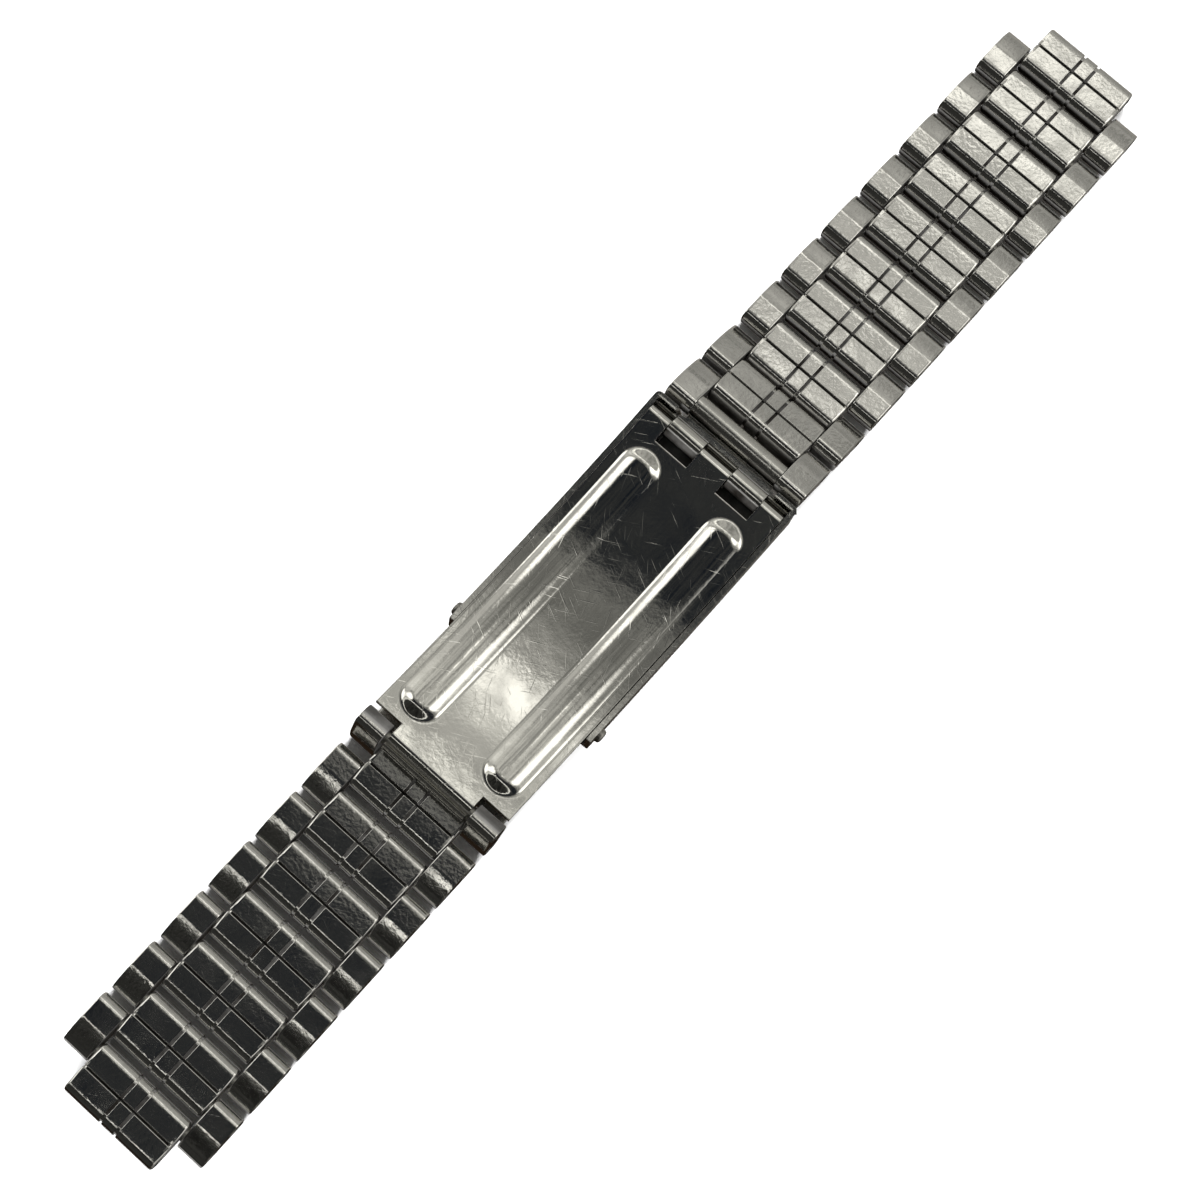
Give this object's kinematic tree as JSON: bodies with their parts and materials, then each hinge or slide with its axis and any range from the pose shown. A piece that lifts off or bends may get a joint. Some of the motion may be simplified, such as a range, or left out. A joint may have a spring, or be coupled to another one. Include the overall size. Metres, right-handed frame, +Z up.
{
  "type": "watch bracelet",
  "caption": "Three-link folded-sheet steel watch bracelet with a fold-over clasp, laid wrist side up with the clasp shut; the end links take the watch's spring bars.",
  "frame": {"origin": "on the surface the bracelet lies on, under the middle of its length and width", "axes": "+X along the bracelet towards the end of its long side, +Y across it, +Z up out of its wrist side"},
  "size_m": [0.15, 0.0198, 0.0062],
  "materials": {
    "link_steel": "polished stainless steel with fine wear scratches and dark grime in the grooves",
    "blade_steel": "bright polished stainless sheet with fine scuffs",
    "cover_steel": "polished stainless sheet",
    "pin_steel": "plain drawn steel wire"
  },
  "bodies": {
    "inner_blade": {"inner_blade": "blade_steel", "blade_pin": "pin_steel"},
    "middle_blade": {"middle_blade": "blade_steel"},
    "cover": {"cover": "cover_steel", "cover_pin": "pin_steel"},
    "short_outer_1": {"short_outer_1": "link_steel", "short_pins_1": "pin_steel"},
    "short_centre_1": {"short_centre_1": "link_steel"},
    "short_outer_2": {"short_outer_2": "link_steel", "short_pins_2": "pin_steel"},
    "short_centre_2": {"short_centre_2": "link_steel"},
    "short_outer_3": {"short_outer_3": "link_steel", "short_pins_3": "pin_steel"},
    "short_centre_3": {"short_centre_3": "link_steel"},
    "short_outer_4": {"short_outer_4": "link_steel", "short_pins_4": "pin_steel"},
    "short_centre_4": {"short_centre_4": "link_steel"},
    "short_outer_5": {"short_outer_5": "link_steel", "short_pins_5": "pin_steel"},
    "short_centre_5": {"short_centre_5": "link_steel"},
    "short_outer_6": {"short_outer_6": "link_steel", "short_pins_6": "pin_steel"},
    "short_centre_6": {"short_centre_6": "link_steel"},
    "short_outer_7": {"short_outer_7": "link_steel", "short_pins_7": "pin_steel"},
    "short_centre_7": {"short_centre_7": "link_steel"},
    "long_outer_1": {"long_outer_1": "link_steel", "long_pins_1": "pin_steel"},
    "long_centre_1": {"long_centre_1": "link_steel"},
    "long_outer_2": {"long_outer_2": "link_steel", "long_pins_2": "pin_steel"},
    "long_centre_2": {"long_centre_2": "link_steel"},
    "long_outer_3": {"long_outer_3": "link_steel", "long_pins_3": "pin_steel"},
    "long_centre_3": {"long_centre_3": "link_steel"},
    "long_outer_4": {"long_outer_4": "link_steel", "long_pins_4": "pin_steel"},
    "long_centre_4": {"long_centre_4": "link_steel"},
    "long_outer_5": {"long_outer_5": "link_steel", "long_pins_5": "pin_steel"},
    "long_centre_5": {"long_centre_5": "link_steel"},
    "long_outer_6": {"long_outer_6": "link_steel", "long_pins_6": "pin_steel"},
    "long_centre_6": {"long_centre_6": "link_steel"},
    "long_outer_7": {"long_outer_7": "link_steel", "long_pins_7": "pin_steel"},
    "long_centre_7": {"long_centre_7": "link_steel"},
    "long_outer_8": {"long_outer_8": "link_steel", "long_pins_8": "pin_steel"},
    "long_centre_8": {"long_centre_8": "link_steel"},
    "long_outer_9": {"long_outer_9": "link_steel", "long_pins_9": "pin_steel"},
    "long_centre_9": {"long_centre_9": "link_steel"}
  },
  "joints": [
    {"name": "blade_hinge", "type": "hinge", "parent": "inner_blade", "child": "middle_blade", "pos_m": [0.0122, 0, 0.00485], "axis": [0, -1, 0], "range_deg": [0, 165]},
    {"name": "cover_hinge", "type": "hinge", "parent": "middle_blade", "child": "cover", "pos_m": [-0.0159, 0, 0.00224], "axis": [0, -1, 0], "range_deg": [-165, 0]},
    {"name": "short_hinge_1", "type": "hinge", "parent": "inner_blade", "child": "short_outer_1", "pos_m": [-0.03033, 0, 0.00436], "axis": [0, 1, 0], "range_deg": [-3, 80]},
    {"name": "short_hinge_2", "type": "hinge", "parent": "short_outer_1", "child": "short_centre_1", "pos_m": [-0.03142, 0, 0.0013], "axis": [0, 1, 0], "range_deg": [-80, 3]},
    {"name": "short_hinge_3", "type": "hinge", "parent": "short_centre_1", "child": "short_outer_2", "pos_m": [-0.03467, 0, 0.0013], "axis": [0, 1, 0], "range_deg": [-14, 14]},
    {"name": "short_hinge_4", "type": "hinge", "parent": "short_outer_2", "child": "short_centre_2", "pos_m": [-0.03792, 0, 0.0013], "axis": [0, 1, 0], "range_deg": [-14, 14]},
    {"name": "short_hinge_5", "type": "hinge", "parent": "short_centre_2", "child": "short_outer_3", "pos_m": [-0.04117, 0, 0.0013], "axis": [0, 1, 0], "range_deg": [-14, 14]},
    {"name": "short_hinge_6", "type": "hinge", "parent": "short_outer_3", "child": "short_centre_3", "pos_m": [-0.04442, 0, 0.0013], "axis": [0, 1, 0], "range_deg": [-14, 14]},
    {"name": "short_hinge_7", "type": "hinge", "parent": "short_centre_3", "child": "short_outer_4", "pos_m": [-0.04767, 0, 0.0013], "axis": [0, 1, 0], "range_deg": [-14, 14]},
    {"name": "short_hinge_8", "type": "hinge", "parent": "short_outer_4", "child": "short_centre_4", "pos_m": [-0.05092, 0, 0.0013], "axis": [0, 1, 0], "range_deg": [-14, 14]},
    {"name": "short_hinge_9", "type": "hinge", "parent": "short_centre_4", "child": "short_outer_5", "pos_m": [-0.05417, 0, 0.0013], "axis": [0, 1, 0], "range_deg": [-14, 14]},
    {"name": "short_hinge_10", "type": "hinge", "parent": "short_outer_5", "child": "short_centre_5", "pos_m": [-0.05742, 0, 0.0013], "axis": [0, 1, 0], "range_deg": [-14, 14]},
    {"name": "short_hinge_11", "type": "hinge", "parent": "short_centre_5", "child": "short_outer_6", "pos_m": [-0.06067, 0, 0.0013], "axis": [0, 1, 0], "range_deg": [-14, 14]},
    {"name": "short_hinge_12", "type": "hinge", "parent": "short_outer_6", "child": "short_centre_6", "pos_m": [-0.06392, 0, 0.0013], "axis": [0, 1, 0], "range_deg": [-14, 14]},
    {"name": "short_hinge_13", "type": "hinge", "parent": "short_centre_6", "child": "short_outer_7", "pos_m": [-0.06717, 0, 0.0013], "axis": [0, 1, 0], "range_deg": [-14, 14]},
    {"name": "short_hinge_14", "type": "hinge", "parent": "short_outer_7", "child": "short_centre_7", "pos_m": [-0.07042, 0, 0.0013], "axis": [0, 1, 0], "range_deg": [-14, 14]},
    {"name": "long_hinge_1", "type": "hinge", "parent": "cover", "child": "long_outer_1", "pos_m": [0.01571, 0, 0.00449], "axis": [0, -1, 0], "range_deg": [-5, 42]},
    {"name": "long_hinge_2", "type": "hinge", "parent": "long_outer_1", "child": "long_centre_1", "pos_m": [0.01883, 0, 0.00356], "axis": [0, -1, 0], "range_deg": [-8, 18]},
    {"name": "long_hinge_3", "type": "hinge", "parent": "long_centre_1", "child": "long_outer_2", "pos_m": [0.02188, 0, 0.00243], "axis": [0, -1, 0], "range_deg": [-14, 14]},
    {"name": "long_hinge_4", "type": "hinge", "parent": "long_outer_2", "child": "long_centre_2", "pos_m": [0.02492, 0, 0.0013], "axis": [0, -1, 0], "range_deg": [-30, 2]},
    {"name": "long_hinge_5", "type": "hinge", "parent": "long_centre_2", "child": "long_outer_3", "pos_m": [0.02817, 0, 0.0013], "axis": [0, -1, 0], "range_deg": [-14, 14]},
    {"name": "long_hinge_6", "type": "hinge", "parent": "long_outer_3", "child": "long_centre_3", "pos_m": [0.03142, 0, 0.0013], "axis": [0, -1, 0], "range_deg": [-14, 14]},
    {"name": "long_hinge_7", "type": "hinge", "parent": "long_centre_3", "child": "long_outer_4", "pos_m": [0.03467, 0, 0.0013], "axis": [0, -1, 0], "range_deg": [-14, 14]},
    {"name": "long_hinge_8", "type": "hinge", "parent": "long_outer_4", "child": "long_centre_4", "pos_m": [0.03792, 0, 0.0013], "axis": [0, -1, 0], "range_deg": [-14, 14]},
    {"name": "long_hinge_9", "type": "hinge", "parent": "long_centre_4", "child": "long_outer_5", "pos_m": [0.04117, 0, 0.0013], "axis": [0, -1, 0], "range_deg": [-14, 14]},
    {"name": "long_hinge_10", "type": "hinge", "parent": "long_outer_5", "child": "long_centre_5", "pos_m": [0.04442, 0, 0.0013], "axis": [0, -1, 0], "range_deg": [-14, 14]},
    {"name": "long_hinge_11", "type": "hinge", "parent": "long_centre_5", "child": "long_outer_6", "pos_m": [0.04767, 0, 0.0013], "axis": [0, -1, 0], "range_deg": [-14, 14]},
    {"name": "long_hinge_12", "type": "hinge", "parent": "long_outer_6", "child": "long_centre_6", "pos_m": [0.05092, 0, 0.0013], "axis": [0, -1, 0], "range_deg": [-14, 14]},
    {"name": "long_hinge_13", "type": "hinge", "parent": "long_centre_6", "child": "long_outer_7", "pos_m": [0.05417, 0, 0.0013], "axis": [0, -1, 0], "range_deg": [-14, 14]},
    {"name": "long_hinge_14", "type": "hinge", "parent": "long_outer_7", "child": "long_centre_7", "pos_m": [0.05742, 0, 0.0013], "axis": [0, -1, 0], "range_deg": [-14, 14]},
    {"name": "long_hinge_15", "type": "hinge", "parent": "long_centre_7", "child": "long_outer_8", "pos_m": [0.06067, 0, 0.0013], "axis": [0, -1, 0], "range_deg": [-14, 14]},
    {"name": "long_hinge_16", "type": "hinge", "parent": "long_outer_8", "child": "long_centre_8", "pos_m": [0.06392, 0, 0.0013], "axis": [0, -1, 0], "range_deg": [-14, 14]},
    {"name": "long_hinge_17", "type": "hinge", "parent": "long_centre_8", "child": "long_outer_9", "pos_m": [0.06717, 0, 0.0013], "axis": [0, -1, 0], "range_deg": [-14, 14]},
    {"name": "long_hinge_18", "type": "hinge", "parent": "long_outer_9", "child": "long_centre_9", "pos_m": [0.07042, 0, 0.0013], "axis": [0, -1, 0], "range_deg": [-14, 14]}
  ],
  "couplings": [
    {"joint": "cover_hinge", "follows": "blade_hinge", "ratio": -1}
  ]
}
